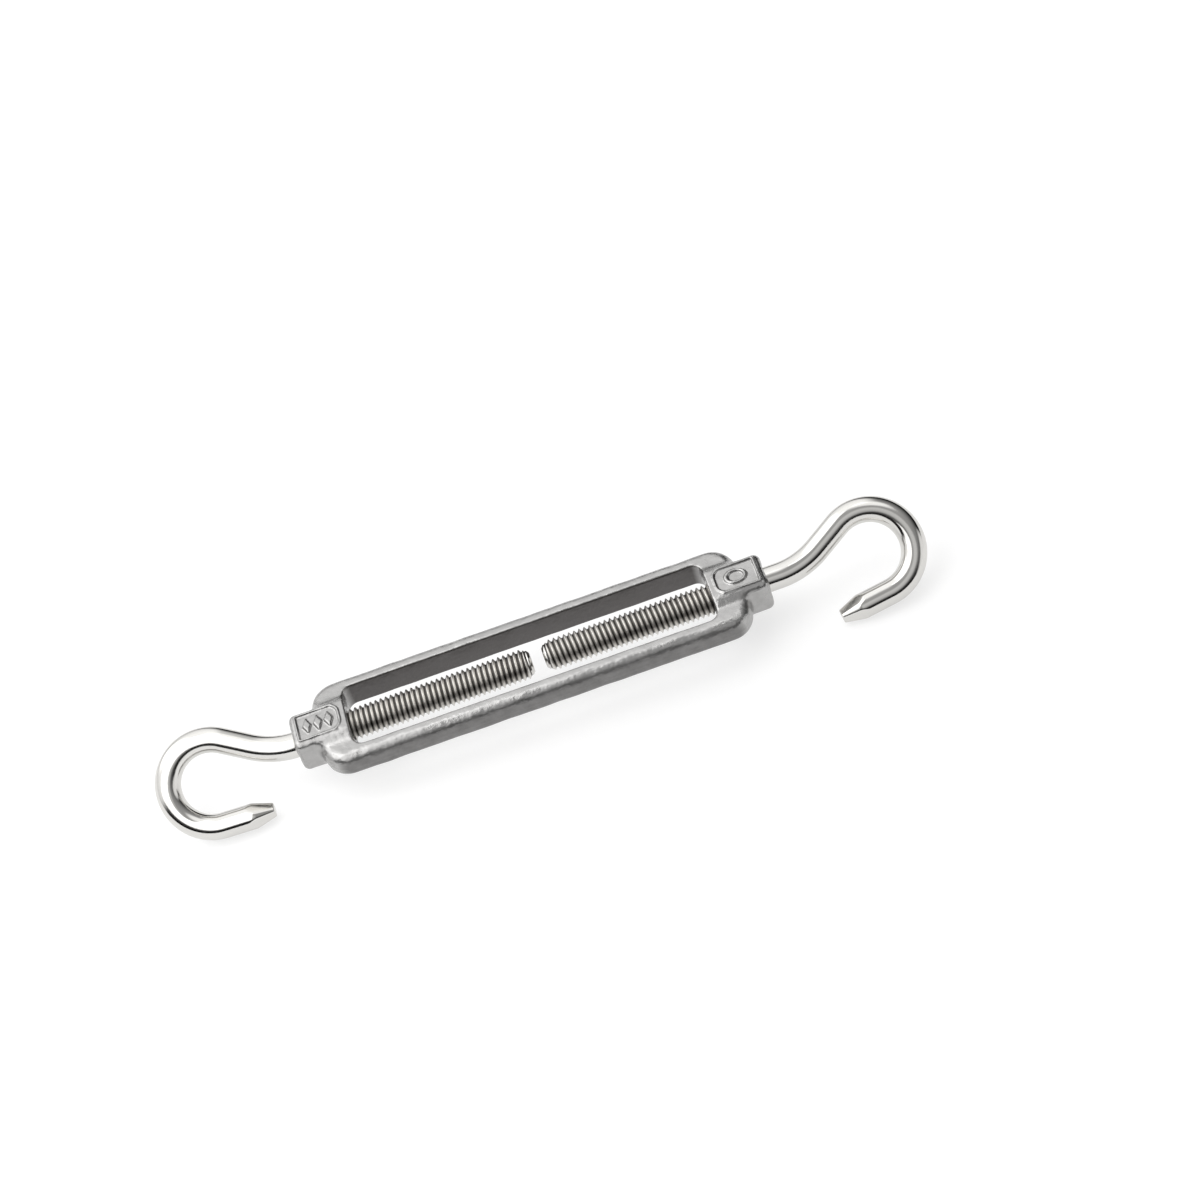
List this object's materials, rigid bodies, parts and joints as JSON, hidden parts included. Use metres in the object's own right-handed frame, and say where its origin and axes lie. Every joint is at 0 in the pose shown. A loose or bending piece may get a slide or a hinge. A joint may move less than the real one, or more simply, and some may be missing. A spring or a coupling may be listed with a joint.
{
  "type": "rigging turnbuckle",
  "caption": "Open-frame rigging turnbuckle with a right-hand and a left-hand threaded hook that draw together or apart as the frame is turned.",
  "frame": {"origin": "middle of the cast body, on the common axis of the two screws", "axes": "+X along the screws towards the hook with the right-hand thread, +Y across the slot from one side bar to the other, +Z square to the marking pads of the bosses"},
  "size_m": [0.1502, 0.0202, 0.0159],
  "materials": {
    "cast_steel": "tumbled and electropolished stainless casting",
    "polished_rod": "bright polished stainless rod with a rolled thread"
  },
  "bodies": {
    "body": {"turnbuckle_body": "cast_steel"},
    "right_screw_travel": {"right_lead_point": "polished_rod"},
    "right_hook": {"right_hook": "polished_rod"},
    "left_screw_travel": {"left_lead_point": "polished_rod"},
    "left_hook": {"left_hook": "polished_rod"}
  },
  "joints": [
    {"name": "right_hook_travel", "type": "slide", "parent": "body", "child": "right_screw_travel", "axis": [1, 0, 0], "range_m": [-0.001, 0.032]},
    {"name": "right_hook_turn", "type": "hinge", "parent": "right_screw_travel", "child": "right_hook", "pos_m": [0, 0, 0], "axis": [1, 0, 0], "range_deg": [-360, 11520]},
    {"name": "left_hook_travel", "type": "slide", "parent": "body", "child": "left_screw_travel", "axis": [-1, 0, 0], "range_m": [-0.001, 0.035]},
    {"name": "left_hook_turn", "type": "hinge", "parent": "left_screw_travel", "child": "left_hook", "pos_m": [0, 0, 0], "axis": [1, 0, 0], "range_deg": [-360, 12600]}
  ],
  "couplings": [
    {"joint": "right_hook_travel", "follows": "right_hook_turn", "m_per_rad": 0.00015915},
    {"joint": "left_hook_travel", "follows": "left_hook_turn", "m_per_rad": 0.00015915}
  ]
}
